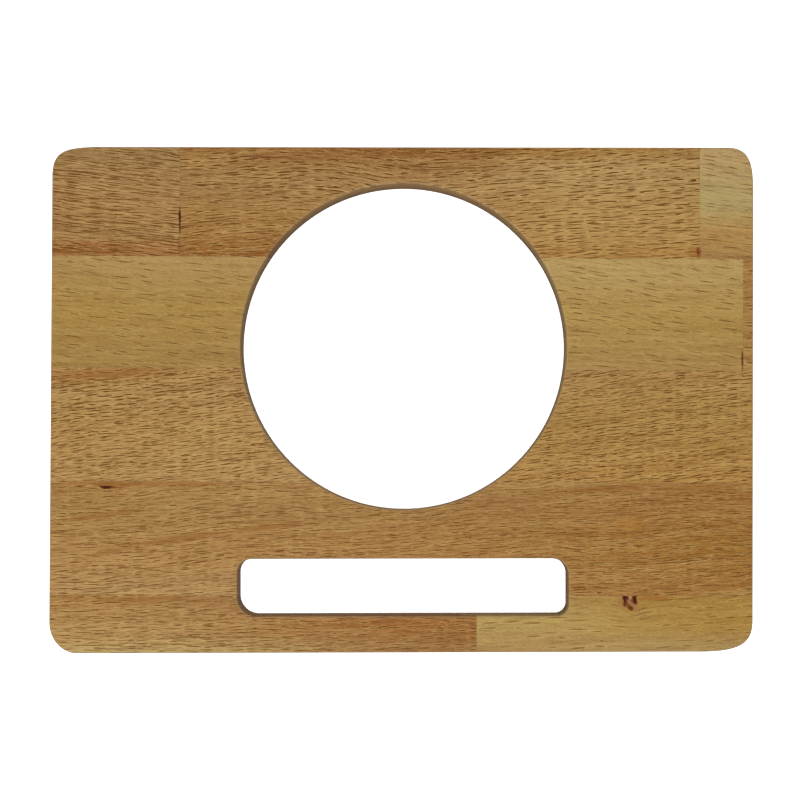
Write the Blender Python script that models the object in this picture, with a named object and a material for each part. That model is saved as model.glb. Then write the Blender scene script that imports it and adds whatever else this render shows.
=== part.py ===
"""Transfer board: a beech panel of finger-jointed, edge-glued staves with a round opening and a hand slot.

Metres. +X runs along the board's length, +Y from the hand slot towards the round opening, +Z up.
The board lies flat, with the centre of its underside at the origin.
"""

import math

import bpy
import bmesh
from mathutils import Matrix, Vector

# The board as machined after gluing
LENGTH = 0.450
WIDTH = 0.324
THICKNESS = 0.018
EDGE_ROUND = 0.002  # roundover on every rim, both faces
OPENING_MARGIN = 0.0237  # wood left between an opening and the long side next to it
ROUND_OPENING_DIAMETER = 0.2088
ROUND_OPENING_X = 0.0006  # cut by hand, a little off the middle
SLOT_LENGTH = 0.2115
SLOT_WIDTH = 0.0363
# The slot's corner radii, anticlockwise from the back left one; they were finished by hand and differ
SLOT_CORNERS = (0.0091, 0.0121, 0.0071, 0.0106)
# The four outer corners were rounded by hand: reach along X and Y, and the Bezier handles' share of each reach
CORNER_BACK_LEFT = (0.0311, 0.0186, 0.75, 0.85)
CORNER_BACK_RIGHT = (0.0167, 0.0282, 0.85, 0.65)
CORNER_FRONT_RIGHT = (0.0331, 0.0205, 0.85, 0.65)
CORNER_FRONT_LEFT = (0.0177, 0.0205, 0.45, 0.65)

# The rows of staves: three of about full width, and a trimmed one along each long side
STAVE_WIDTH = 0.0722
BACK_ROW_WIDTH = 0.0711
SECOND_ROW_WIDTH = 0.0716
PANEL_TURN = math.radians(-0.3)  # the long sides were cut slightly askew to the staves, and the ends square to them

# Where the end joints cross their rows
JOINT_X_BACK_LEFT = -0.1430
JOINT_X_BACK_RIGHT = 0.1900
JOINT_X_SECOND = 0.2182
JOINT_X_FRONT = 0.0478

# The finger joints, cut across the thickness, so that the faces show one straight line
FINGER_LENGTH = 0.010
FINGER_COUNT = 4
FINGER_TIP = 0.0007
FINGER_SHOULDER = 0.0012

# The glue: a thin film in the middle of each joint
JOINT_GAP = 0.0003
GLUE_FILM = 0.0001

# Mesh detail
ARC_STEPS = 24  # segments in a quarter turn
ROUND_STEPS = 3  # rings added inside a roundover
CIRCLE_HANDLE = 0.5523  # Bezier handle length of a quarter circle, as a share of its radius
OVERHANG = 0.005  # how far a blank stands past the board before it is trimmed

HALF_LENGTH = LENGTH / 2
HALF_WIDTH = WIDTH / 2
ROUND_OPENING_Y = HALF_WIDTH - OPENING_MARGIN - ROUND_OPENING_DIAMETER / 2
SLOT_Y = -HALF_WIDTH + OPENING_MARGIN + SLOT_WIDTH / 2

# The long glue joints, from the back row to the front row
EDGE_JOINT_BACK = HALF_WIDTH - BACK_ROW_WIDTH
EDGE_JOINT_SECOND = EDGE_JOINT_BACK - SECOND_ROW_WIDTH
EDGE_JOINT_THIRD = EDGE_JOINT_SECOND - STAVE_WIDTH
EDGE_JOINT_FRONT = EDGE_JOINT_THIRD - STAVE_WIDTH

# Each row's front and back side, with the outer rows running past the board until they are trimmed
BACK_ROW = (EDGE_JOINT_BACK, HALF_WIDTH + OVERHANG)
SECOND_ROW = (EDGE_JOINT_SECOND, EDGE_JOINT_BACK)
THIRD_ROW = (EDGE_JOINT_THIRD, EDGE_JOINT_SECOND)
FOURTH_ROW = (EDGE_JOINT_FRONT, EDGE_JOINT_THIRD)
FRONT_ROW = (-HALF_WIDTH - OVERHANG, EDGE_JOINT_FRONT)

# Stave: row, left end joint, right end joint, and which side of the board it lies on.
# None means that the outline or the round opening ends the stave, and not an end joint.
STAVES = {
    "stave_back_left": (BACK_ROW, None, JOINT_X_BACK_LEFT, "whole"),
    "stave_back_middle": (BACK_ROW, JOINT_X_BACK_LEFT, JOINT_X_BACK_RIGHT, "whole"),
    "stave_back_right": (BACK_ROW, JOINT_X_BACK_RIGHT, None, "whole"),
    "stave_second_left": (SECOND_ROW, None, None, "left"),
    "stave_second_right": (SECOND_ROW, None, JOINT_X_SECOND, "right"),
    "stave_second_end": (SECOND_ROW, JOINT_X_SECOND, None, "whole"),
    "stave_third_left": (THIRD_ROW, None, None, "left"),
    "stave_third_right": (THIRD_ROW, None, None, "right"),
    "stave_fourth": (FOURTH_ROW, None, None, "whole"),
    "stave_front_left": (FRONT_ROW, None, JOINT_X_FRONT, "whole"),
    "stave_front_right": (FRONT_ROW, JOINT_X_FRONT, None, "whole"),
}

# Colours as seen, in sRGB
STAVE_COLOURS = {
    "stave_back_left": (0.60, 0.455, 0.271),
    "stave_back_middle": (0.625, 0.475, 0.285),
    "stave_back_right": (0.667, 0.557, 0.353),
    "stave_second_left": (0.651, 0.518, 0.290),
    "stave_second_right": (0.663, 0.541, 0.314),
    "stave_second_end": (0.631, 0.478, 0.267),
    "stave_third_left": (0.647, 0.506, 0.306),
    "stave_third_right": (0.631, 0.478, 0.267),
    "stave_fourth": (0.627, 0.467, 0.263),
    "stave_front_left": (0.640, 0.480, 0.280),
    "stave_front_right": (0.660, 0.535, 0.300),
}
GLUE_COLOUR = (0.38, 0.25, 0.13)
WOOD_ROUGHNESS = 0.5
GLUE_ROUGHNESS = 0.35


def clear_scene():
    for scene_object in list(bpy.data.objects):
        bpy.data.objects.remove(scene_object)


def new_collection(name):
    collection = bpy.data.collections.new(name)
    bpy.context.scene.collection.children.link(collection)
    return collection


def to_linear(channel):
    return ((channel + 0.055) / 1.055) ** 2.4


def make_material(name, colour, roughness):
    material = bpy.data.materials.new(name)
    material.use_nodes = True
    shader = material.node_tree.nodes["Principled BSDF"]
    shader.inputs["Base Color"].default_value = (*map(to_linear, colour), 1)
    shader.inputs["Roughness"].default_value = roughness
    shader.inputs["Metallic"].default_value = 0
    material.diffuse_color = (*map(to_linear, colour), 1)
    return material


def flat_curve(name):
    """An empty 2D curve whose closed splines are filled on both sides."""
    curve = bpy.data.curves.new(name, "CURVE")
    curve.dimensions = "2D"
    curve.fill_mode = "BOTH"
    return curve


def mesh_of_curve(curve, matrix, collection):
    """A mesh object of the curve's shape, with its loose caps welded to its sides."""
    curve_object = bpy.data.objects.new(curve.name + "_curve", curve)
    curve_object.matrix_world = matrix
    collection.objects.link(curve_object)
    bpy.context.view_layer.update()
    evaluated = curve_object.evaluated_get(bpy.context.evaluated_depsgraph_get())
    mesh = bpy.data.meshes.new_from_object(evaluated)
    welded = bmesh.new()
    welded.from_mesh(mesh)
    bmesh.ops.remove_doubles(welded, verts=welded.verts, dist=1e-6)
    bmesh.ops.recalc_face_normals(welded, faces=welded.faces)
    welded.to_mesh(mesh)
    welded.free()
    mesh_object = bpy.data.objects.new(curve.name, mesh)
    mesh_object.matrix_world = curve_object.matrix_world
    bpy.data.objects.remove(curve_object)
    collection.objects.link(mesh_object)
    return mesh_object


def add_rounded_rectangle(curve, centre, half_x, half_y, corners, skew=0.0):
    """A closed Bezier spline with corners given as (reach along X, along Y, handle share along X, along Y).

    The corners run anticlockwise from the back left one. The skew moves points along X, per unit of their Y.
    """
    signs = ((-1, 1), (-1, -1), (1, -1), (1, 1))
    spline = curve.splines.new("BEZIER")
    spline.bezier_points.add(2 * len(signs) - 1)
    spline.use_cyclic_u = True
    spline.resolution_u = ARC_STEPS
    for corner, ((sign_x, sign_y), (reach_x, reach_y, share_x, share_y)) in enumerate(zip(signs, corners)):
        corner_at = Vector((centre[0] + sign_x * half_x, centre[1] + sign_y * half_y, 0))
        on_long_side = (corner_at - Vector((sign_x * reach_x, 0, 0)), share_x)
        on_short_side = (corner_at - Vector((0, sign_y * reach_y, 0)), share_y)
        arrives_long = sign_x * sign_y < 0
        ends = (on_long_side, on_short_side) if arrives_long else (on_short_side, on_long_side)
        for step, (end, share) in enumerate(ends):
            point = spline.bezier_points[2 * corner + step]
            handle = end.lerp(corner_at, share)
            for place in (end, handle):
                place.x += place.y * skew
            point.co = end
            if step == 0:
                point.handle_left_type = "VECTOR"
                point.handle_right_type = "FREE"
                point.handle_right = handle
            else:
                point.handle_left_type = "FREE"
                point.handle_right_type = "VECTOR"
                point.handle_left = handle


def add_circle(curve, centre, radius):
    """A closed Bezier spline of four quarter arcs."""
    spline = curve.splines.new("BEZIER")
    spline.bezier_points.add(3)
    spline.use_cyclic_u = True
    spline.resolution_u = ARC_STEPS
    for point, (x, y) in zip(spline.bezier_points, ((1, 0), (0, 1), (-1, 0), (0, -1))):
        on_circle = Vector((centre[0] + x * radius, centre[1] + y * radius, 0))
        along = Vector((-y, x, 0)) * radius * CIRCLE_HANDLE
        point.handle_left_type = "FREE"
        point.handle_right_type = "FREE"
        point.co = on_circle
        point.handle_left = on_circle - along
        point.handle_right = on_circle + along


def make_machined_outline(collection):
    """The whole board as one rounded solid, which trims every stave and glue film."""
    curve = flat_curve("machined_outline")
    curve.extrude = THICKNESS / 2 - EDGE_ROUND
    curve.bevel_depth = EDGE_ROUND
    curve.bevel_resolution = ROUND_STEPS
    curve.offset = -EDGE_ROUND
    corners = (CORNER_BACK_LEFT, CORNER_FRONT_LEFT, CORNER_FRONT_RIGHT, CORNER_BACK_RIGHT)
    add_rounded_rectangle(curve, (0, 0), HALF_LENGTH, HALF_WIDTH, corners, -math.tan(PANEL_TURN))
    add_circle(curve, (ROUND_OPENING_X, ROUND_OPENING_Y), ROUND_OPENING_DIAMETER / 2)
    slot_corners = [(radius, radius, CIRCLE_HANDLE, CIRCLE_HANDLE) for radius in SLOT_CORNERS]
    add_rounded_rectangle(curve, (0, SLOT_Y), SLOT_LENGTH / 2, SLOT_WIDTH / 2, slot_corners)
    outline = mesh_of_curve(curve, Matrix.Translation((0, 0, THICKNESS / 2)), collection)
    outline.hide_render = True
    outline.display_type = "WIRE"
    return outline


def finger_line(joint_x):
    """The zigzag of an end joint in the XZ plane, from below the board to above it."""
    pitch = (THICKNESS - 2 * FINGER_SHOULDER) / FINGER_COUNT
    half_tip = FINGER_TIP / 2
    line = [Vector((joint_x, -OVERHANG))]
    for finger in range(FINGER_COUNT):
        root = FINGER_SHOULDER + finger * pitch
        tip = root + pitch / 2
        line.append(Vector((joint_x, root + half_tip)))
        line.append(Vector((joint_x - FINGER_LENGTH, tip - half_tip)))
        line.append(Vector((joint_x - FINGER_LENGTH, tip + half_tip)))
        line.append(Vector((joint_x, root + pitch - half_tip)))
    line.append(Vector((joint_x, THICKNESS + OVERHANG)))
    return line


def shifted(line, distance):
    """The line moved sideways by a distance, with mitred corners; positive moves an upward line to +X."""
    sides = []
    for start, end in zip(line, line[1:]):
        along = (end - start).normalized()
        sides.append(Vector((along.y, -along.x)))
    moved = [line[0] + sides[0] * distance]
    for point, before, after in zip(line[1:], sides, sides[1:]):
        mitre = before + after
        moved.append(point + mitre * (distance / (mitre.length_squared / 2)))
    moved.append(line[-1] + sides[-1] * distance)
    return moved


def straight_line(x):
    return [Vector((x, -OVERHANG)), Vector((x, THICKNESS + OVERHANG))]


def make_blank(name, left_line, right_line, front_y, back_y, collection):
    """A piece between two lines of the XZ plane, extruded along Y from its front side to its back side."""
    curve = flat_curve(name)
    curve.extrude = (back_y - front_y) / 2
    outline = right_line + left_line[::-1]
    spline = curve.splines.new("POLY")
    spline.points.add(len(outline) - 1)
    spline.use_cyclic_u = True
    for point, corner in zip(spline.points, outline):
        point.co = (corner.x, corner.y, 0, 1)
    # The curve's own Y becomes up, and its extrusion runs along the board's Y
    upright = Matrix.Rotation(math.pi / 2, 4, "X")
    place = Matrix.Translation((0, (front_y + back_y) / 2, 0))
    turn = Matrix.Rotation(PANEL_TURN, 4, "Z")
    return mesh_of_curve(curve, turn @ place @ upright, collection)


def trim(blank, outline):
    """Leave only the part of a blank that lies inside the machined outline."""
    cut = blank.modifiers.new("machining", "BOOLEAN")
    cut.operation = "INTERSECT"
    cut.solver = "EXACT"
    cut.object = outline


def make_stave(name, outline, collection):
    (front_y, back_y), left_x, right_x, side = STAVES[name]
    left_end = 0 if side == "right" else -HALF_LENGTH - OVERHANG
    right_end = 0 if side == "left" else HALF_LENGTH + OVERHANG
    if left_x is None:
        left_line = straight_line(left_end)
    else:
        left_line = shifted(finger_line(left_x), JOINT_GAP / 2)
    if right_x is None:
        right_line = straight_line(right_end)
    else:
        right_line = shifted(finger_line(right_x), -JOINT_GAP / 2)
    half_gap = JOINT_GAP / 2
    stave = make_blank(name, left_line, right_line, front_y + half_gap, back_y - half_gap, collection)
    stave.data.materials.append(make_material(name + "_beech", STAVE_COLOURS[name], WOOD_ROUGHNESS))
    trim(stave, outline)


def make_finger_film(name, joint_x, row, outline, collection):
    """The glue in an end joint, over its row's width."""
    line = finger_line(joint_x)
    front_y, back_y = row
    half_gap = JOINT_GAP / 2
    film = make_blank(
        name,
        shifted(line, -GLUE_FILM / 2),
        shifted(line, GLUE_FILM / 2),
        front_y + half_gap,
        back_y - half_gap,
        collection,
    )
    film.data.materials.append(make_material(name, GLUE_COLOUR, GLUE_ROUGHNESS))
    trim(film, outline)


def make_edge_film(name, joint_y, side, outline, collection):
    """The glue in a long joint, on one side of the opening that interrupts it."""
    left_end = -HALF_LENGTH - OVERHANG if side == "left" else 0
    right_end = 0 if side == "left" else HALF_LENGTH + OVERHANG
    film = make_blank(
        name,
        straight_line(left_end),
        straight_line(right_end),
        joint_y - GLUE_FILM / 2,
        joint_y + GLUE_FILM / 2,
        collection,
    )
    film.data.materials.append(make_material(name, GLUE_COLOUR, GLUE_ROUGHNESS))
    trim(film, outline)


def main():
    clear_scene()
    board = new_collection("transfer_board")
    cutters = new_collection("cutters")
    outline = make_machined_outline(cutters)
    for name in STAVES:
        make_stave(name, outline, board)
    edge_joints = {
        "back": EDGE_JOINT_BACK,
        "second": EDGE_JOINT_SECOND,
        "third": EDGE_JOINT_THIRD,
        "front": EDGE_JOINT_FRONT,
    }
    for row_name, joint_y in edge_joints.items():
        for side in ("left", "right"):
            make_edge_film(f"glue_edge_{row_name}_{side}", joint_y, side, outline, board)
    make_finger_film("glue_finger_back_left", JOINT_X_BACK_LEFT, BACK_ROW, outline, board)
    make_finger_film("glue_finger_back_right", JOINT_X_BACK_RIGHT, BACK_ROW, outline, board)
    make_finger_film("glue_finger_second", JOINT_X_SECOND, SECOND_ROW, outline, board)
    make_finger_film("glue_finger_front", JOINT_X_FRONT, FRONT_ROW, outline, board)


main()
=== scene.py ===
"""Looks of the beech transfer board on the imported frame: staves, glue, wood, floor, light and camera."""

import math

import bmesh
import bpy
from mathutils import Matrix, Vector


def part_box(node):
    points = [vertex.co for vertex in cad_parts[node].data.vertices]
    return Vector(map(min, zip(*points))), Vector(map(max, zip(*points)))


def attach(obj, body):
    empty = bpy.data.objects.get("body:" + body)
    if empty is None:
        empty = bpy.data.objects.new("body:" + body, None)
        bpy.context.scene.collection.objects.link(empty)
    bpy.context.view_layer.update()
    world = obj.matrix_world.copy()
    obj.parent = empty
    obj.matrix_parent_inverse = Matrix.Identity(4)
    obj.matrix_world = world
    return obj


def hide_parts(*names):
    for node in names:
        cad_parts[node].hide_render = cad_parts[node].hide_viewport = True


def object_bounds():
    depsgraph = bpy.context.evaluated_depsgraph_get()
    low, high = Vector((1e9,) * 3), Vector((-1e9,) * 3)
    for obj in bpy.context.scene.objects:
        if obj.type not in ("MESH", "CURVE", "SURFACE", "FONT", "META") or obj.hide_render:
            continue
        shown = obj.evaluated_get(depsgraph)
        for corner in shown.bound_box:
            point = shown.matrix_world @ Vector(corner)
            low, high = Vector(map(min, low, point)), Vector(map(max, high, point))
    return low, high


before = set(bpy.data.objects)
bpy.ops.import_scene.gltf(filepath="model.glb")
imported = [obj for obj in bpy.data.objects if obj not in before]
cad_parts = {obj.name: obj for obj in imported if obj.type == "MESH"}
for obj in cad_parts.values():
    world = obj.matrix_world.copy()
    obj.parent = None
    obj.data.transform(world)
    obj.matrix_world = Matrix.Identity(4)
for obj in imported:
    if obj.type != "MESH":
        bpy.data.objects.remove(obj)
CAD_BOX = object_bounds()

MM = 0.001

# ---------------------------------------------------------------- the board, read from the frame
LOW, HIGH = CAD_BOX
THICKNESS = HIGH[2] - LOW[2]
HALF_LENGTH = 225 * MM  # at mid width: the ends lean a little
HALF_WIDTH = HIGH[1]
EDGE_ROUND = 2.0 * MM
OPENING_MARGIN = 23.7 * MM
OPENING_RADIUS = 104.4 * MM
OPENING_X = 0.6 * MM
OPENING_Y = HALF_WIDTH - OPENING_MARGIN - OPENING_RADIUS
SLOT_HALF_LENGTH = 105.75 * MM
SLOT_HALF_WIDTH = 18.15 * MM
SLOT_Y = -HALF_WIDTH + OPENING_MARGIN + SLOT_HALF_WIDTH
# Corners go anticlockwise from the back left one. The slot's are radii
SLOT_CORNERS = (9.1 * MM, 12.1 * MM, 7.1 * MM, 10.6 * MM)
# The board's own: reach along X and Y, and handle share along X and Y
CORNERS = (
    (31.1 * MM, 18.6 * MM, 0.75, 0.85),
    (17.7 * MM, 20.5 * MM, 0.45, 0.65),
    (33.1 * MM, 20.5 * MM, 0.85, 0.65),
    (16.7 * MM, 28.2 * MM, 0.85, 0.65),
)
PANEL_TURN = math.radians(-0.3)  # the rows lie slightly askew in the board, and its ends are square to them

# Finger joints
FINGER_LENGTH = 10 * MM
FINGER_COUNT = 4
FINGER_TIP = 0.7 * MM
FINGER_SHOULDER = 1.2 * MM

# Joints as they look: the wood nearly meets, and the glue fills what is left
JOINT_GAP = 0.10 * MM
FILM = 0.06 * MM

# How finely the outlines are drawn
ARC_STEPS = 40
ROUND_STEPS = 5
CIRCLE_HANDLE = 0.5523  # of the radius: makes a Bezier quarter circle
OVERHANG = 5 * MM  # how far the blanks reach past the board before they are trimmed


def edge_joint(row):
    """Where a long joint crosses the middle of the board, given the row name of its glue films."""
    low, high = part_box(f"glue_edge_{row}_left")
    middle = (low + high) / 2
    return middle.y - middle.x * math.tan(PANEL_TURN)


def end_joint(name):
    """The X of a finger joint in the panel's own axes, given its glue film's name."""
    low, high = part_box(name)
    middle = (low + high) / 2
    return middle.x + FINGER_LENGTH / 2 + middle.y * math.tan(PANEL_TURN)


JOINT_Y = {row: edge_joint(row) for row in ("back", "second", "third", "front")}
JOINT_X = {
    "back_left": end_joint("glue_finger_back_left"),
    "back_right": end_joint("glue_finger_back_right"),
    "second": end_joint("glue_finger_second"),
    "front": end_joint("glue_finger_front"),
}
ROWS = {
    "back": (JOINT_Y["back"], HALF_WIDTH + OVERHANG),
    "second": (JOINT_Y["second"], JOINT_Y["back"]),
    "third": (JOINT_Y["third"], JOINT_Y["second"]),
    "fourth": (JOINT_Y["front"], JOINT_Y["third"]),
    "front": (-HALF_WIDTH - OVERHANG, JOINT_Y["front"]),
}


# ---------------------------------------------------------------- meshes
def new_collection(name):
    collection = bpy.data.collections.new(name)
    bpy.context.scene.collection.children.link(collection)
    return collection


BOARD = new_collection("board_looks")


def flat_curve(name):
    curve = bpy.data.curves.new(name, "CURVE")
    curve.dimensions = "2D"
    curve.fill_mode = "BOTH"
    return curve


def mesh_of_curve(curve, matrix):
    """A mesh object of the curve's shape in world coordinates, welded and closed."""
    curve_object = bpy.data.objects.new(curve.name + "_curve", curve)
    curve_object.matrix_world = matrix
    BOARD.objects.link(curve_object)
    bpy.context.view_layer.update()
    evaluated = curve_object.evaluated_get(bpy.context.evaluated_depsgraph_get())
    mesh = bpy.data.meshes.new_from_object(evaluated)
    mesh.transform(matrix)
    shape = bmesh.new()
    shape.from_mesh(mesh)
    bmesh.ops.remove_doubles(shape, verts=shape.verts, dist=1e-6)
    bmesh.ops.recalc_face_normals(shape, faces=shape.faces)
    shape.to_mesh(mesh)
    shape.free()
    bpy.data.objects.remove(curve_object)
    result = bpy.data.objects.new(curve.name, mesh)
    BOARD.objects.link(result)
    return result


def add_rounded_rectangle(curve, centre_y, half_x, half_y, corners, skew=0.0):
    """A closed Bezier spline around (0, centre_y). The skew moves points along X, per unit of their Y."""
    signs = ((-1, 1), (-1, -1), (1, -1), (1, 1))
    spline = curve.splines.new("BEZIER")
    spline.bezier_points.add(2 * len(signs) - 1)
    spline.use_cyclic_u = True
    spline.resolution_u = ARC_STEPS
    for corner, ((sign_x, sign_y), (reach_x, reach_y, share_x, share_y)) in enumerate(zip(signs, corners)):
        corner_at = Vector((sign_x * half_x, centre_y + sign_y * half_y, 0))
        on_long_side = (corner_at - Vector((sign_x * reach_x, 0, 0)), share_x)
        on_short_side = (corner_at - Vector((0, sign_y * reach_y, 0)), share_y)
        ends = (on_long_side, on_short_side) if sign_x * sign_y < 0 else (on_short_side, on_long_side)
        for step, (end, share) in enumerate(ends):
            point = spline.bezier_points[2 * corner + step]
            handle = end.lerp(corner_at, share)
            for spot in (end, handle):
                spot.x += spot.y * skew
            point.co = end
            if step == 0:
                point.handle_left_type = "VECTOR"
                point.handle_right_type = "FREE"
                point.handle_right = handle
            else:
                point.handle_left_type = "FREE"
                point.handle_right_type = "VECTOR"
                point.handle_left = handle


def add_circle(curve, centre_x, centre_y, radius):
    spline = curve.splines.new("BEZIER")
    spline.bezier_points.add(3)
    spline.use_cyclic_u = True
    spline.resolution_u = ARC_STEPS
    for point, (x, y) in zip(spline.bezier_points, ((1, 0), (0, 1), (-1, 0), (0, -1))):
        on_circle = Vector((centre_x + x * radius, centre_y + y * radius, 0))
        along = Vector((-y, x, 0)) * radius * CIRCLE_HANDLE
        point.handle_left_type = "FREE"
        point.handle_right_type = "FREE"
        point.co = on_circle
        point.handle_left = on_circle - along
        point.handle_right = on_circle + along


def make_outline():
    """The machined board as one solid, which trims every stave and film."""
    curve = flat_curve("machined_outline")
    curve.extrude = THICKNESS / 2 - EDGE_ROUND
    curve.bevel_depth = EDGE_ROUND
    curve.bevel_resolution = ROUND_STEPS
    curve.offset = -EDGE_ROUND
    add_rounded_rectangle(curve, 0, HALF_LENGTH, HALF_WIDTH, CORNERS, -math.tan(PANEL_TURN))
    add_circle(curve, OPENING_X, OPENING_Y, OPENING_RADIUS)
    slot_corners = [(radius, radius, CIRCLE_HANDLE, CIRCLE_HANDLE) for radius in SLOT_CORNERS]
    add_rounded_rectangle(curve, SLOT_Y, SLOT_HALF_LENGTH, SLOT_HALF_WIDTH, slot_corners)
    return mesh_of_curve(curve, Matrix.Translation((0, 0, LOW[2] + THICKNESS / 2)))


def finger_line(joint_x):
    """The zigzag of an end joint in the XZ plane, from below the board to above it."""
    pitch = (THICKNESS - 2 * FINGER_SHOULDER) / FINGER_COUNT
    half_tip = FINGER_TIP / 2
    line = [Vector((joint_x, -OVERHANG))]
    for finger in range(FINGER_COUNT):
        root = FINGER_SHOULDER + finger * pitch
        tip = root + pitch / 2
        line.append(Vector((joint_x, root + half_tip)))
        line.append(Vector((joint_x - FINGER_LENGTH, tip - half_tip)))
        line.append(Vector((joint_x - FINGER_LENGTH, tip + half_tip)))
        line.append(Vector((joint_x, root + pitch - half_tip)))
    line.append(Vector((joint_x, THICKNESS + OVERHANG)))
    return line


def shifted(line, distance):
    """The line moved sideways with mitred corners; positive moves an upward line to +X."""
    sides = []
    for start, end in zip(line, line[1:]):
        along = (end - start).normalized()
        sides.append(Vector((along.y, -along.x)))
    moved = [line[0] + sides[0] * distance]
    for point, before, after in zip(line[1:], sides, sides[1:]):
        mitre = before + after
        moved.append(point + mitre * (distance / (mitre.length_squared / 2)))
    moved.append(line[-1] + sides[-1] * distance)
    return moved


def straight_line(x):
    return [Vector((x, -OVERHANG)), Vector((x, THICKNESS + OVERHANG))]


def make_blank(name, left_line, right_line, front_y, back_y):
    """A piece between two lines of the XZ plane, from its front side to its back side along Y."""
    curve = flat_curve(name)
    curve.extrude = (back_y - front_y) / 2
    outline = right_line + left_line[::-1]
    spline = curve.splines.new("POLY")
    spline.points.add(len(outline) - 1)
    spline.use_cyclic_u = True
    for point, corner in zip(spline.points, outline):
        point.co = (corner.x, corner.y, 0, 1)
    upright = Matrix.Rotation(math.pi / 2, 4, "X")
    place = Matrix.Translation((0, (front_y + back_y) / 2, 0))
    return mesh_of_curve(curve, Matrix.Rotation(PANEL_TURN, 4, "Z") @ place @ upright)


def carve(piece, tool, operation):
    """Apply one exact Boolean to a piece."""
    cut = piece.modifiers.new("cut", "BOOLEAN")
    cut.operation = operation
    cut.solver = "EXACT"
    cut.object = tool
    bpy.context.view_layer.update()
    evaluated = piece.evaluated_get(bpy.context.evaluated_depsgraph_get())
    mesh = bpy.data.meshes.new_from_object(evaluated)
    piece.modifiers.clear()
    old = piece.data
    piece.data = mesh
    bpy.data.meshes.remove(old)


def finish_mesh(piece, material):
    """Clean flat faces, smooth roundovers, and the piece's own material."""
    shape = bmesh.new()
    shape.from_mesh(piece.data)
    bmesh.ops.remove_doubles(shape, verts=shape.verts, dist=2e-6)
    bmesh.ops.dissolve_limit(
        shape, angle_limit=math.radians(0.05), verts=shape.verts, edges=shape.edges, delimit={"NORMAL"}
    )
    bmesh.ops.triangulate(shape, faces=shape.faces, ngon_method="EAR_CLIP")
    bmesh.ops.recalc_face_normals(shape, faces=shape.faces)
    shape.to_mesh(piece.data)
    shape.free()
    piece.data.materials.clear()
    piece.data.materials.append(material)
    piece.data.shade_smooth()
    piece.data.set_sharp_from_angle(angle=math.radians(40))
    weighted = piece.modifiers.new("normals", "WEIGHTED_NORMAL")
    weighted.mode = "FACE_AREA"
    weighted.keep_sharp = True
    weighted.weight = 100


def gouge(piece, centre_x, centre_y, half_x, half_y, turn, depth):
    """Scoop a hollow out of a piece's top face. Lengths are in mm, and the turn is in degrees."""
    shape = bmesh.new()
    place = Matrix.Translation((centre_x * MM, centre_y * MM, HIGH[2]))
    turned = Matrix.Rotation(math.radians(turn), 4, "Z")
    size = Matrix.Diagonal((half_x * MM, half_y * MM, depth * MM, 1))
    bmesh.ops.create_uvsphere(shape, u_segments=20, v_segments=12, radius=1, matrix=place @ turned @ size)
    mesh = bpy.data.meshes.new("gouge")
    shape.to_mesh(mesh)
    shape.free()
    tool = bpy.data.objects.new("gouge", mesh)
    BOARD.objects.link(tool)
    carve(piece, tool, "DIFFERENCE")
    bpy.data.objects.remove(tool)


def settle(piece, node):
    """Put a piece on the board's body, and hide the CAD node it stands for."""
    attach(piece, "root")
    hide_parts(node)


# ---------------------------------------------------------------- materials
class Nodes:
    """A short way to write a material's node tree."""

    def __init__(self, name):
        self.material = bpy.data.materials.new(name)
        self.material.use_nodes = True
        self.tree = self.material.node_tree
        self.shader = self.tree.nodes["Principled BSDF"]

    def add(self, kind, inputs=None, **settings):
        node = self.tree.nodes.new(kind)
        for key, value in settings.items():
            setattr(node, key, value)
        for key, value in (inputs or {}).items():
            self.put(node.inputs[key], value)
        return node

    def put(self, socket, value):
        if isinstance(value, bpy.types.NodeSocket):
            self.tree.links.new(value, socket)
        else:
            socket.default_value = value

    def maths(self, operation, a, b=0.0, c=0.0, clamp=False):
        node = self.add("ShaderNodeMath", {0: a, 1: b, 2: c}, operation=operation, use_clamp=clamp)
        return node.outputs[0]

    def vector(self, operation, a, b=(0, 0, 0), scale=1.0):
        node = self.add("ShaderNodeVectorMath", {0: a, 1: b, 3: scale}, operation=operation)
        return node.outputs["Value"] if operation == "LENGTH" else node.outputs[0]

    def combine(self, x, y, z):
        return self.add("ShaderNodeCombineXYZ", {0: x, 1: y, 2: z}).outputs[0]

    def noise(self, vector, detail=2.0, scale=1.0):
        return self.add("ShaderNodeTexNoise", {"Vector": vector, "Scale": scale, "Detail": detail}).outputs[0]

    def smooth(self, value, low, high, to_low=0.0, to_high=1.0):
        node = self.add(
            "ShaderNodeMapRange",
            {"Value": value, 1: low, 2: high, 3: to_low, 4: to_high},
            interpolation_type="SMOOTHSTEP",
        )
        return node.outputs[0]

    def mix(self, share, a, b):
        node = self.add("ShaderNodeMix", data_type="RGBA", blend_type="MIX")
        self.put(node.inputs["Factor"], share)
        self.put(node.inputs[6], a)
        self.put(node.inputs[7], b)
        return node.outputs[2]

    def ramp(self, value, stops):
        node = self.add("ShaderNodeValToRGB", {0: value})
        band = node.color_ramp
        band.interpolation = "EASE"
        while len(band.elements) < len(stops):
            band.elements.new(0.5)
        for element, (place, colour) in zip(band.elements, stops):
            element.position = place
            element.color = colour
        return node.outputs[0]


def linear(*channels):
    """A linear colour from 0 to 255 sRGB channels."""
    return (*(((c / 255 + 0.055) / 1.055) ** 2.4 for c in channels), 1.0)


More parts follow.
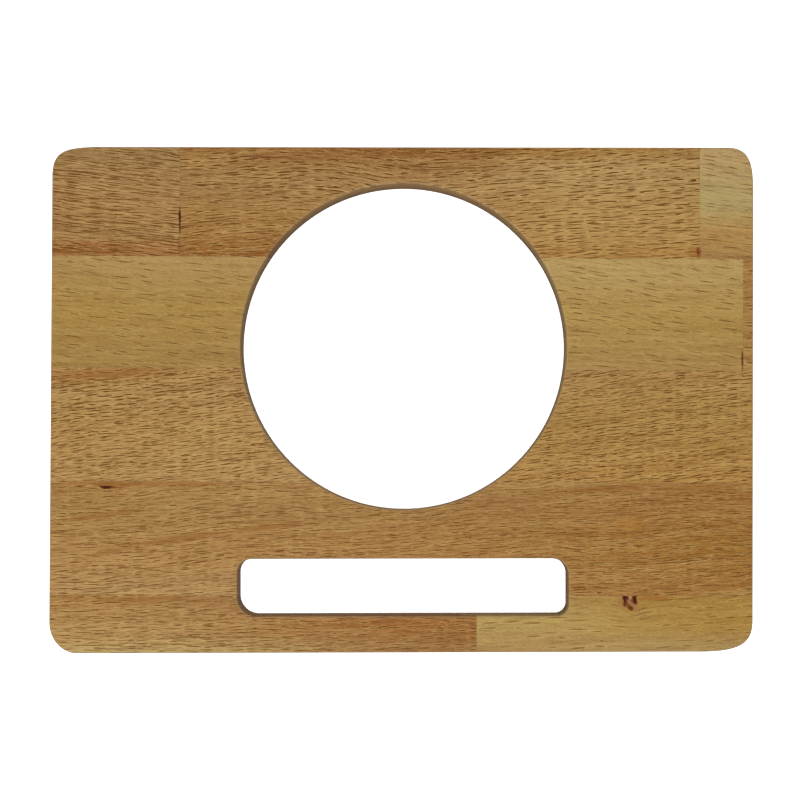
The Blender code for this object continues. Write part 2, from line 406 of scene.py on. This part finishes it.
# The wood. Lengths in this section are in mm, and colours that go through linear() are 0 to 255 sRGB
LIGHT = 1.28  # how bright a white surface lying on the board would look
PITH_DEPTH = 100  # from the underside down to the tree's axis
PITH_WANDER = 20  # how far the axis may lie beside a stave's middle
GRAIN_WANDER = 12
RING_WIDTH = 1.4  # between the growth rings
RAY_DEPTH = 16.0  # how deep a ray runs into the wood
MARK_DEPTH = 8.0
SHADE = (0.15, 0.056, 0.0, 1.0)  # the darker grain
INK = (0.163, 0.052, 0.0, 1.0)  # the ends of the wood rays
CORE = (0.113, 0.033, 0.0, 1.0)  # and their middles
PALE_GRAIN = linear(214, 180, 112)
# Painted highlight on the rounded edges
EDGE_HIGHLIGHT = linear(206, 184, 150)
# Painted shade on the cut walls, with end grain's real darker oiling
WALL_SHADE_AND_OIL = linear(88, 67, 45)
# Layers of tint along the grain: length, width, depth, shift, noise detail, strength
BANDS = (110, 6, 40, 3.1, 2, 0.5)
STREAKS = (40, 2.2, 30, 9.7, 1, 0.4)
FIBRES = (9, 0.55, 8, 1.9, 0, 0.3)
PORES = (2.0, 0.6, 3, 6.1, 0, 0.45)
MOTTLE = (13, 1.6, 20, 5.3, 1)  # each stave sets its strength
RINGS = (160, 30, RING_WIDTH, 0, 1)  # seen on the walls only, at the next strength
RINGS_ON_WALLS = 0.8
TINT_ON_WALLS = 0.45  # how much of it is left there
RAYS_ON_WALLS = 0.3
SATIN_ROUGHNESS = 0.5
WALL_ROUGHNESS = 0.35  # on top of that
BUMP_DEPTH = 0.08 * MM


def add_mark(n, colour, place, fray, centre_x, centre_y, half_x, half_y, turn, mark_colour, strength):
    """The colour with one soft, frayed mark laid over it on the top face."""
    settings = {
        "Vector": place,
        "Location": (centre_x, centre_y, HIGH[2] / MM),
        "Rotation": (0, 0, math.radians(turn)),
        "Scale": (half_x, half_y, MARK_DEPTH),
    }
    away = n.vector("LENGTH", n.add("ShaderNodeMapping", settings, vector_type="TEXTURE").outputs[0])
    edge = n.maths("MULTIPLY_ADD", n.maths("SUBTRACT", fray, 0.5), 0.8, away)
    return n.mix(n.smooth(edge, 0.35, 1.1, strength, 0.0), colour, linear(*mark_colour))


def beech(
    name, seed, tones, tones_right=None, drift=(-225, 225), slope=0.0, sweep=None, wave=0.5,
    dash=(10, 2.6, 4.2, 0.42), slant=0.0, dark=1.0, keep=0.9, long=0.5, small=0.35, mottled=0.5,
    knot=None, stains_and_painted_shade=(),
):
    """Oiled beech as a solid texture that runs through faces, edges and end grain.

    tones: (share, colour) stops across the stave, from its front side (0) to its back side (1);
    tones_right: the same at the stave's right end, reached over the drift range of X.
    slope: the grain's rise per length; sweep: (X, half width, change of slope) of one bow in it;
    wave: how much it wanders.
    dash: ray ends' cell length, cell width, half length and half width; slant: their rise beside the grain's;
    dark, keep: how dark and how many they are; long, small: how strong the longer and smaller ones are;
    mottled: how strong the mottle between them is.
    knot: (X, Y, radius) of a knot that the grain flows round.
    stains_and_painted_shade: (X, Y, half length, half width, turn in degrees, colour, strength) of soft marks
    on the top face: stains, and the painted shade in an open joint.
    """
    n = Nodes(name)
    where = n.add("ShaderNodeTexCoord").outputs["Object"]
    place = n.vector("SCALE", where, scale=1 / MM)
    xyz = n.add("ShaderNodeSeparateXYZ", {0: place}).outputs
    x, y, z = xyz[0], xyz[1], xyz[2]
    low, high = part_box(name)
    low_y, high_y = low.y / MM, high.y / MM
    offset = seed * 37.7

    # Grain direction: a lean, one bow and a slow wander
    wander = n.noise(n.combine(n.maths("DIVIDE", x, 90), n.maths("DIVIDE", y, 30), offset), detail=1)
    side = n.maths("MULTIPLY_ADD", n.maths("SUBTRACT", wander, 0.5), -GRAIN_WANDER * wave, y)
    side = n.maths("MULTIPLY_ADD", x, -slope, side)
    if sweep:
        centre, half, change = sweep
        bow = n.maths("TANH", n.maths("DIVIDE", n.maths("SUBTRACT", x, centre), half / 1.2))
        side = n.maths("MULTIPLY_ADD", bow, -change * half * 0.886, side)
    if knot:
        knot_x, knot_y, radius = knot
        beside = n.maths("SUBTRACT", x, knot_x)
        above = n.maths("SUBTRACT", y, knot_y)
        squared = n.maths("MULTIPLY_ADD", beside, beside, n.maths("MULTIPLY", above, above))
        flow = n.maths("DIVIDE", radius * radius, n.maths("MAXIMUM", squared, radius * radius))
        side = n.maths("SUBTRACT", side, n.maths("MULTIPLY", above, flow))

    # The tree's axis lies below the stave: across runs round it, deep runs out from it
    pith_y = (low_y + high_y) / 2 + PITH_WANDER * math.sin(seed * 2.4)
    from_pith = n.maths("SUBTRACT", side, pith_y)
    up = n.maths("ADD", z, PITH_DEPTH)
    across = n.maths("MULTIPLY", n.maths("ARCTAN2", from_pith, up), PITH_DEPTH + THICKNESS / MM)
    deep = n.maths("SQRT", n.maths("MULTIPLY_ADD", from_pith, from_pith, n.maths("MULTIPLY", up, up)))

    def grain(length, width, depth, shift, detail):
        point = n.combine(
            n.maths("MULTIPLY_ADD", x, 1 / length, offset + shift),
            n.maths("MULTIPLY_ADD", across, 1 / width, shift),
            n.maths("DIVIDE", deep, depth),
        )
        return n.maths("SUBTRACT", n.noise(point, detail=detail), 0.5)

    # Tones across the stave, and the tint of its grain: above 0 pale, below 0 dark
    wavy = n.maths("MULTIPLY_ADD", n.maths("SUBTRACT", side, y), 0.25, y)
    share = n.maths("DIVIDE", n.maths("SUBTRACT", wavy, low_y), high_y - low_y)
    base = n.ramp(share, [(p, linear(*c)) for p, c in tones])
    if tones_right:
        right = n.ramp(share, [(p, linear(*c)) for p, c in tones_right])
        base = n.mix(n.smooth(x, *drift), base, right)
    mottle = grain(*MOTTLE)
    tint = n.maths("MULTIPLY", mottle, mottled)
    for length, width, depth, shift, detail, strength in (BANDS, STREAKS, FIBRES, PORES):
        tint = n.maths("MULTIPLY_ADD", grain(length, width, depth, shift, detail), strength, tint)

    # The walls cut through the growth rings
    normal = n.add("ShaderNodeSeparateXYZ", {0: n.add("ShaderNodeTexCoord").outputs["Normal"]}).outputs
    upright = n.maths("ABSOLUTE", normal[2])
    wall = n.smooth(upright, 0.25, 0.85, 1.0, 0.0)
    tint = n.maths("MULTIPLY", tint, n.maths("MULTIPLY_ADD", wall, TINT_ON_WALLS - 1, 1.0))
    tint = n.maths("MULTIPLY_ADD", n.maths("MULTIPLY", grain(*RINGS), wall), RINGS_ON_WALLS, tint)

    def lenses(cell_x, cell_y, half_x, half_y, shift, share):
        """Lens-shaped ends of the wood rays, long along the grain: their cover, pale rims and colour."""
        point = n.combine(
            n.maths("MULTIPLY_ADD", x, 1 / cell_x, shift + offset),
            n.maths("MULTIPLY_ADD", across, 1 / cell_y, shift * 2),
            n.maths("MULTIPLY_ADD", deep, 1 / RAY_DEPTH, shift * 3),
        )
        cells = n.add("ShaderNodeTexVoronoi", {"Vector": point, "Scale": 1.0, "Randomness": 0.85})
        from_middle = n.vector("SUBTRACT", point, cells.outputs["Position"])
        apart = n.add("ShaderNodeSeparateXYZ", {0: from_middle}).outputs
        chance = n.add("ShaderNodeSeparateColor", {0: cells.outputs["Color"]}).outputs
        # Each has a size of its own, from half to 1.4 times, and a small tilt of its own
        size = n.maths("MULTIPLY_ADD", chance[2], 0.9, 0.5)
        along = n.maths("DIVIDE", n.maths("MULTIPLY", apart[0], cell_x / half_x), size)
        tilt = n.maths("MULTIPLY_ADD", n.maths("SUBTRACT", chance[1], 0.5), 1.2, -slant * half_x / half_y)
        sideways = n.maths("MULTIPLY_ADD", apart[1], cell_y / half_y, n.maths("MULTIPLY", along, tilt))
        room = n.maths("SUBTRACT", 1.0, n.maths("MULTIPLY", along, along))
        lens = n.maths("SUBTRACT", room, n.maths("ABSOLUTE", sideways))
        # The larger the share, the more of them show in full; the rest stay faint
        present = n.smooth(chance[0], 0.8 - share, 1.6 - share, 0.15, 1.0)
        ink = n.maths("MULTIPLY", n.smooth(lens, -0.6, 0.1), present)
        rim = n.maths("MULTIPLY", n.smooth(lens, -3.2, -0.8), present)
        core = n.maths("MULTIPLY", n.smooth(lens, -0.1, 0.9), present)
        return ink, rim, n.mix(core, INK, CORE)

    cell_x, cell_y, half_x, half_y = dash
    dash_ink, dash_rim, dash_colour = lenses(cell_x, cell_y, half_x, half_y, 7.1, keep)
    small_ink, _, small_colour = lenses(
        cell_x * 0.7, cell_y * 0.75, half_x * 0.65, half_y * 0.75, 3.3, keep - 0.2
    )
    long_ink, long_rim, long_colour = lenses(
        cell_x * 2.4, cell_y * 1.8, half_x * 2.5, half_y * 0.95, 5.9, keep - 0.3
    )
    rims = n.maths("MAXIMUM", n.maths("MULTIPLY", dash_rim, dark), n.maths("MULTIPLY", long_rim, long))

    pale = n.maths("MULTIPLY_ADD", tint, 1.1, n.maths("MULTIPLY", rims, 0.32), clamp=True)
    colour = n.mix(pale, base, PALE_GRAIN)
    colour = n.mix(n.maths("MULTIPLY", tint, -1.2, clamp=True), colour, SHADE)

    # Rays show dark where they end on the faces, and faint along the walls
    shown = n.maths("MULTIPLY_ADD", wall, RAYS_ON_WALLS - 1, 1.0)
    layers = ((small_ink, small, small_colour), (long_ink, long, long_colour), (dash_ink, dark, dash_colour))
    for ink, strength, ink_colour in layers:
        cover = n.maths("MULTIPLY", n.maths("MULTIPLY", ink, strength), shown, clamp=True)
        colour = n.mix(cover, colour, ink_colour)

    # Painted highlight: rounded edges are mixed toward a pale colour. Painted shade: cut walls are mixed
    # toward a grey-brown, more of it downwards, and end grain, which drinks more oil, gets a little more
    rim = n.maths("SUBTRACT", n.smooth(upright, 0.8, 0.99, 1.0, 0.0), wall)
    colour = n.mix(n.maths("MULTIPLY", rim, 0.25, clamp=True), colour, EDGE_HIGHLIGHT)
    end_grain = n.maths("POWER", n.maths("ABSOLUTE", normal[0]), 2.0)
    sunk = n.maths("MULTIPLY_ADD", z, -MM / THICKNESS, HIGH[2] / THICKNESS)
    # Painted shade, deeper further down the walls, plus a little more for end grain's real darker oiling
    wall_shade_and_oil = n.maths("MULTIPLY_ADD", sunk, 0.7, n.maths("MULTIPLY_ADD", end_grain, 0.1, 0.28))
    colour = n.mix(n.maths("MULTIPLY", wall, wall_shade_and_oil, clamp=True), colour, WALL_SHADE_AND_OIL)

    # Soft marks laid on last: stains, and the painted shade in an open joint
    fray = n.noise(n.vector("SCALE", place, scale=0.7), detail=1)
    for mark in stains_and_painted_shade:
        colour = add_mark(n, colour, place, fray, *mark)
    n.put(n.shader.inputs["Base Color"], n.vector("SCALE", colour, scale=1 / LIGHT))

    rough = n.maths("MULTIPLY_ADD", mottle, 0.2, n.maths("MULTIPLY_ADD", dash_ink, 0.08, SATIN_ROUGHNESS))
    n.put(n.shader.inputs["Roughness"], n.maths("MULTIPLY_ADD", wall, WALL_ROUGHNESS, rough))
    height = n.maths("MULTIPLY_ADD", dash_ink, -0.5, n.maths("MULTIPLY", mottle, -0.35))
    bump = n.add("ShaderNodeBump", {"Strength": 0.25, "Distance": BUMP_DEPTH, "Height": height})
    n.put(n.shader.inputs["Normal"], bump.outputs[0])
    n.shader.inputs["Specular IOR Level"].default_value = 0.05
    return n.material


def glue(name):
    """Set wood glue, a dark line with paler spots."""
    n = Nodes(name)
    where = n.add("ShaderNodeTexCoord").outputs["Object"]
    spots = n.noise(n.vector("SCALE", where, scale=1000.0), detail=2, scale=0.35)
    colour = n.mix(n.smooth(spots, 0.35, 0.65), linear(96, 62, 32), linear(142, 104, 58))
    n.put(n.shader.inputs["Base Color"], colour)
    n.shader.inputs["Roughness"].default_value = 0.4
    return n.material


# ---------------------------------------------------------------- pieces
# Stave: row, end joint on the left, end joint on the right, side of the round opening
STAVES = {
    "stave_back_left": ("back", None, "back_left", "whole"),
    "stave_back_middle": ("back", "back_left", "back_right", "whole"),
    "stave_back_right": ("back", "back_right", None, "whole"),
    "stave_second_left": ("second", None, None, "left"),
    "stave_second_right": ("second", None, "second", "right"),
    "stave_second_end": ("second", "second", None, "whole"),
    "stave_third_left": ("third", None, None, "left"),
    "stave_third_right": ("third", None, None, "right"),
    "stave_fourth": ("fourth", None, None, "whole"),
    "stave_front_left": ("front", None, "front", "whole"),
    "stave_front_right": ("front", "front", None, "whole"),
}

# Hollows in the top face, by the pieces they reach: X, Y, half length, half width, turn, depth
OPEN_JOINT = (-142.4, 114.0, 0.35, 8.5, 0, 0.7)
GOUGES = {
    "stave_back_left": [OPEN_JOINT],
    "stave_back_middle": [OPEN_JOINT],
    "glue_finger_back_left": [OPEN_JOINT],
    "stave_fourth": [(-189.3, -56.0, 3.9, 0.9, -4, 0.6)],
    "stave_front_right": [
        (141.9, -127.9, 0.9, 3.0, 4, 0.6),
        (148.2, -128.2, 0.7, 3.2, 10, 0.6),
        (145.5, -134.0, 0.9, 1.0, 0, 0.4),
    ],
}
# Colours of marks on the wood, and of the painted shade in an open joint
REDDISH = (144, 90, 32)
RUSTY = (120, 50, 14)
DARK_MARK_AND_GAP_SHADE = (76, 26, 2)
KNOT_BROWN = (116, 60, 16)
KNOT_DARK = (98, 44, 10)

# Grain that two staves share, as if they came from one plank
SECOND_GRAIN = dict(
    dash=(16, 4.0, 5.6, 0.29), slant=-0.1, dark=0.76, keep=0.8, long=0.35, small=0.42, wave=0.3, mottled=0.3
)
THIRD_GRAIN = dict(dash=(8.5, 1.9, 4.6, 0.26), dark=0.95, keep=0.9, long=0.4, small=0.65)

# Each stave's wood, in beech()'s terms
# The tones are a measuring script's numbers from the photo, rounded to fives
WOOD = {
    "stave_back_left": dict(
        seed=1, slope=-0.095, dash=(13, 1.8, 7.5, 0.25), dark=0.95, keep=0.95, long=0.8, small=0.65,
        tones=[(0, (165, 110, 60)), (0.15, (165, 125, 75)), (0.3, (180, 135, 85)), (1, (165, 130, 85))],
        stains_and_painted_shade=(
            # The first two: painted shade in the open joint's crack, over its hollow
            (-142.5, 114.0, 0.8, 10.0, 0, DARK_MARK_AND_GAP_SHADE, 0.75),
            (-142.5, 117.6, 0.9, 4.5, 0, DARK_MARK_AND_GAP_SHADE, 1.0),
            (-142.8, 97.5, 0.8, 3.5, 0, DARK_MARK_AND_GAP_SHADE, 0.4),
        ),
    ),
    "stave_back_middle": dict(
        seed=2, slope=0.07, sweep=(-30, 47, -0.2), dash=(11, 2.4, 5.2, 0.29), small=0.65, drift=(20, 110),
        tones=[
            (0, (145, 85, 30)), (0.3, (165, 120, 65)), (0.7, (170, 130, 80)), (0.88, (160, 115, 65)),
            (1, (140, 85, 35)),
        ],
        tones_right=[(0, (180, 135, 70)), (0.3, (185, 145, 85)), (0.8, (185, 150, 95)), (1, (165, 120, 60))],
        stains_and_painted_shade=(
            (-88.0, 155.2, 24.0, 1.2, -3, (112, 62, 22), 0.6),
            # Painted shade in the open joint's crack, over its hollow
            (-142.3, 114.0, 0.8, 10.0, 0, DARK_MARK_AND_GAP_SHADE, 0.75),
            (-142.3, 117.6, 0.9, 4.5, 0, DARK_MARK_AND_GAP_SHADE, 1.0),
            (187.0, 95.0, 6.0, 4.0, 0, REDDISH, 0.45),
            (189.6, 94.5, 1.4, 4.6, 0, RUSTY, 0.9),
            (190.8, 161.0, 0.8, 1.5, 0, DARK_MARK_AND_GAP_SHADE, 0.6),
        ),
    ),
    "stave_back_right": dict(
        seed=3, slope=-0.13, dash=(12, 3.0, 5.0, 0.3), dark=0.7, keep=0.6, long=0.3,
        tones=[(0, (155, 115, 70)), (0.3, (180, 140, 80)), (0.6, (180, 160, 105)), (1, (185, 155, 105))],
        stains_and_painted_shade=((190.6, 94.5, 1.1, 4.0, 0, RUSTY, 0.8),),
    ),
    "stave_second_left": dict(
        seed=4, slope=-0.04, **SECOND_GRAIN,
        tones=[(0, (165, 130, 70)), (0.5, (170, 135, 70)), (1, (175, 140, 85))],
    ),
    "stave_second_right": dict(
        seed=5, slope=-0.05, **SECOND_GRAIN,
        tones=[(0, (170, 135, 75)), (0.5, (175, 140, 75)), (1, (185, 155, 95))],
        stains_and_painted_shade=((217.9, 24.5, 1.0, 8.0, 0, DARK_MARK_AND_GAP_SHADE, 0.9),),
    ),
    "stave_second_end": dict(
        seed=6, dark=0.9, keep=0.6, small=0.5,
        tones=[(0, (165, 125, 65)), (1, (170, 125, 70))],
    ),
    "stave_third_left": dict(
        seed=7, slope=0.107, **THIRD_GRAIN,
        tones=[(0, (185, 145, 90)), (0.5, (185, 145, 85)), (0.9, (180, 140, 85)), (1, (175, 130, 75))],
        stains_and_painted_shade=((-190.0, 16.5, 50.0, 4.0, 3, (150, 96, 44), 0.5),),
    ),
    "stave_third_right": dict(
        seed=8, slope=0.105, **THIRD_GRAIN,
        tones=[(0, (180, 135, 70)), (0.5, (175, 135, 70)), (1, (175, 135, 80))],
    ),
    "stave_fourth": dict(
        seed=9, slope=0.05, wave=0.8, dash=(10, 2.1, 5.4, 0.26), dark=0.87, keep=0.85, long=0.45, small=0.53,
        tones=[(0, (185, 145, 95)), (0.4, (180, 135, 80)), (0.8, (170, 130, 75)), (1, (175, 130, 75))],
        tones_right=[(0, (165, 115, 55)), (0.4, (160, 110, 45)), (0.8, (160, 110, 55)), (1, (175, 135, 75))],
        stains_and_painted_shade=(
            (-190.0, -73.5, 38.0, 2.6, 7.5, REDDISH, 0.48),
            (-88.0, -81.8, 32.0, 2.6, 5, REDDISH, 0.58),
            (-140.0, -88.5, 38.0, 2.6, 8, REDDISH, 0.55),
            (-188.0, -97.0, 20.0, 2.6, 12, REDDISH, 0.38),
            (-150.0, -53.6, 78.0, 1.8, 0, REDDISH, 0.42),
            (133.0, -57.0, 50.0, 2.6, 4.5, REDDISH, 0.5),
            (190.0, -56.5, 34.0, 3.2, 2, REDDISH, 0.55),
            (146.0, -80.0, 15.0, 5.0, 0, (178, 120, 50), 0.35),
            (-186.0, -54.5, 16.0, 3.0, 0, REDDISH, 0.5),
            (-187.0, -55.8, 9.5, 1.1, -3, RUSTY, 0.8),
            (-189.3, -56.0, 4.8, 1.3, -4, DARK_MARK_AND_GAP_SHADE, 1.0),
        ),
    ),
    "stave_front_left": dict(
        seed=10, slope=0.03, dash=(10, 2.1, 5.2, 0.26), dark=0.87, keep=0.85, long=0.45, small=0.55,
        drift=(-200, 30),
        tones=[(0, (195, 170, 110)), (0.4, (185, 145, 90)), (1, (175, 130, 75))],
        tones_right=[(0, (160, 115, 65)), (0.5, (155, 95, 40)), (1, (140, 100, 60))],
        stains_and_painted_shade=((-165.0, -127.4, 62.0, 2.4, 0, REDDISH, 0.45),),
    ),
    "stave_front_right": dict(
        seed=11, slope=0.02, dash=(14, 3.2, 6.0, 0.34), dark=0.7, keep=0.5, long=0.2, small=0.3, mottled=0.35,
        drift=(60, 200), knot=(144.9, -129.5, 5.5),
        tones=[(0, (170, 135, 80)), (0.5, (185, 155, 90)), (1, (165, 130, 70))],
        tones_right=[(0, (175, 145, 90)), (0.5, (175, 135, 65)), (1, (170, 130, 60))],
        stains_and_painted_shade=(
            # Warm wood round the knot
            (145.3, -129.5, 10.0, 7.5, 0, (176, 126, 60), 0.6),
            (160.0, -127.5, 15.0, 2.2, 2, (156, 100, 34), 0.7),
            (139.6, -129.3, 2.6, 4.6, 0, (156, 106, 66), 0.45),
            (149.9, -134.2, 3.0, 2.8, 0, (164, 112, 70), 0.5),
            # The knot: its body, its dark rims, its paler heart
            (145.2, -129.6, 5.2, 5.6, 0, KNOT_BROWN, 0.9),
            (141.7, -130.9, 1.5, 2.8, 0, KNOT_DARK, 0.9),
            (142.0, -127.4, 2.1, 3.6, 8, DARK_MARK_AND_GAP_SHADE, 1.0),
            (143.6, -127.7, 1.9, 0.9, -10, DARK_MARK_AND_GAP_SHADE, 0.9),
            (148.3, -128.3, 1.6, 4.3, 10, DARK_MARK_AND_GAP_SHADE, 1.0),
            (148.5, -125.8, 2.4, 1.1, 0, DARK_MARK_AND_GAP_SHADE, 0.9),
            (145.5, -133.9, 2.0, 1.9, 0, KNOT_DARK, 0.9),
            (145.3, -126.6, 1.2, 2.6, 0, (188, 140, 102), 0.9),
            (145.9, -130.9, 4.2, 1.3, -42, (172, 122, 84), 0.8),
        ),
    ),
}


def end_line(joint, side, plain_x):
    """A stave's left end (side 1) or right end (side -1), half a gap off its finger joint if it has one."""
    if joint is None:
        return straight_line(plain_x)
    return shifted(finger_line(JOINT_X[joint]), side * JOINT_GAP / 2)


def make_stave(name, outline):
    row, left_joint, right_joint, side = STAVES[name]
    front_y, back_y = ROWS[row]
    left_end = 0 if side == "right" else -HALF_LENGTH - OVERHANG
    right_end = 0 if side == "left" else HALF_LENGTH + OVERHANG
    half_gap = JOINT_GAP / 2
    piece = make_blank(
        name + "_wood",
        end_line(left_joint, 1, left_end),
        end_line(right_joint, -1, right_end),
        front_y + half_gap,
        back_y - half_gap,
    )
    carve(piece, outline, "INTERSECT")
    for hollow in GOUGES.get(name, []):
        gouge(piece, *hollow)
    finish_mesh(piece, beech(name, **WOOD[name]))
    settle(piece, name)


def make_edge_film(row, side, outline):
    name = f"glue_edge_{row}_{side}"
    joint_y = JOINT_Y[row]
    left_end = -HALF_LENGTH - OVERHANG if side == "left" else 0
    right_end = 0 if side == "left" else HALF_LENGTH + OVERHANG
    piece = make_blank(
        name + "_line",
        straight_line(left_end),
        straight_line(right_end),
        joint_y - FILM / 2,
        joint_y + FILM / 2,
    )
    carve(piece, outline, "INTERSECT")
    finish_mesh(piece, glue(name + "_line"))
    settle(piece, name)


def make_finger_film(joint, row, outline):
    name = "glue_finger_" + joint
    line = finger_line(JOINT_X[joint])
    front_y, back_y = ROWS[row]
    half_gap = JOINT_GAP / 2
    piece = make_blank(
        name + "_line",
        shifted(line, -FILM / 2),
        shifted(line, FILM / 2),
        front_y + half_gap,
        back_y - half_gap,
    )
    carve(piece, outline, "INTERSECT")
    for hollow in GOUGES.get(name, []):
        gouge(piece, *hollow)
    finish_mesh(piece, glue(name + "_line"))
    settle(piece, name)


outline = make_outline()
for stave in STAVES:
    make_stave(stave, outline)
for row in JOINT_Y:
    for side in ("left", "right"):
        make_edge_film(row, side, outline)
for joint, row in (("back_left", "back"), ("back_right", "back"), ("second", "second"), ("front", "front")):
    make_finger_film(joint, row, outline)
bpy.data.objects.remove(outline)


# ---------------------------------------------------------------- floor, light, camera
FLOOR_SIDE = 6.0
FLOOR_GAP = 0.2 * MM
CAMERA_AT = (0.008, -0.04)
CAMERA_HEIGHT = 0.8  # above the top face
CAMERA_LEAN = (0.5415, -0.5625, -0.07)  # degrees about X, Y and Z, off straight down
CAMERA_SHIFT = (-0.0346, 0.0625)
LENS = 56.315
SENSOR = 36.0
KEY_POWER = 48.0
FILL_POWER = 4.0
DOME = 0.15  # strength of the white surround as a light
SURROUND = 0.9  # and as it looks past the floor's edge
FLOOR_GLOW = 0.5


def make_floor():
    bpy.ops.mesh.primitive_plane_add(size=FLOOR_SIDE, location=(0, 0, LOW[2] - FLOOR_GAP))
    floor = bpy.context.object
    floor.name = "floor"
    n = Nodes("floor_paper")
    n.shader.inputs["Base Color"].default_value = (0.93, 0.93, 0.93, 1)
    n.shader.inputs["Emission Color"].default_value = (1, 1, 1, 1)
    n.shader.inputs["Emission Strength"].default_value = FLOOR_GLOW
    n.shader.inputs["Roughness"].default_value = 0.9
    n.shader.inputs["Specular IOR Level"].default_value = 0.1
    floor.data.materials.append(n.material)


def make_softbox(name, location, side, power):
    """A square light aimed at the middle of the board."""
    light = bpy.data.lights.new(name, "AREA")
    light.shape = "RECTANGLE"
    light.size = side
    light.size_y = side
    light.energy = power
    light_object = bpy.data.objects.new(name, light)
    light_object.location = location
    light_object.rotation_euler = (-Vector(location)).to_track_quat("-Z", "Y").to_euler()
    bpy.context.scene.collection.objects.link(light_object)


def make_world():
    """A white surround, dimmer as a light than as it looks."""
    world = bpy.data.worlds.new("studio")
    bpy.context.scene.world = world
    world.use_nodes = True
    tree = world.node_tree
    lit = tree.nodes["Background"]
    seen = tree.nodes.new("ShaderNodeBackground")
    for background, strength in ((lit, DOME), (seen, SURROUND)):
        background.inputs["Color"].default_value = (1, 1, 1, 1)
        background.inputs["Strength"].default_value = strength
    either = tree.nodes.new("ShaderNodeMixShader")
    tree.links.new(tree.nodes.new("ShaderNodeLightPath").outputs["Is Camera Ray"], either.inputs["Fac"])
    tree.links.new(lit.outputs[0], either.inputs[1])
    tree.links.new(seen.outputs[0], either.inputs[2])
    tree.links.new(either.outputs[0], tree.nodes["World Output"].inputs["Surface"])


def make_camera():
    camera = bpy.data.cameras.new("camera")
    camera.sensor_width = SENSOR
    camera.lens = LENS
    camera.shift_x, camera.shift_y = CAMERA_SHIFT
    camera.clip_end = 50
    camera_object = bpy.data.objects.new("camera", camera)
    camera_object.location = (*CAMERA_AT, HIGH[2] + CAMERA_HEIGHT)
    camera_object.rotation_euler = [math.radians(angle) for angle in CAMERA_LEAN]
    bpy.context.scene.collection.objects.link(camera_object)
    bpy.context.scene.camera = camera_object


make_floor()
make_world()
make_softbox("overhead_softbox", (0.0, -0.05, 2.2), 0.6, KEY_POWER)
make_softbox("front_left_fill", (-1.1, -0.9, 0.9), 0.8, FILL_POWER)
make_camera()
bpy.context.scene.view_settings.view_transform = "Standard"
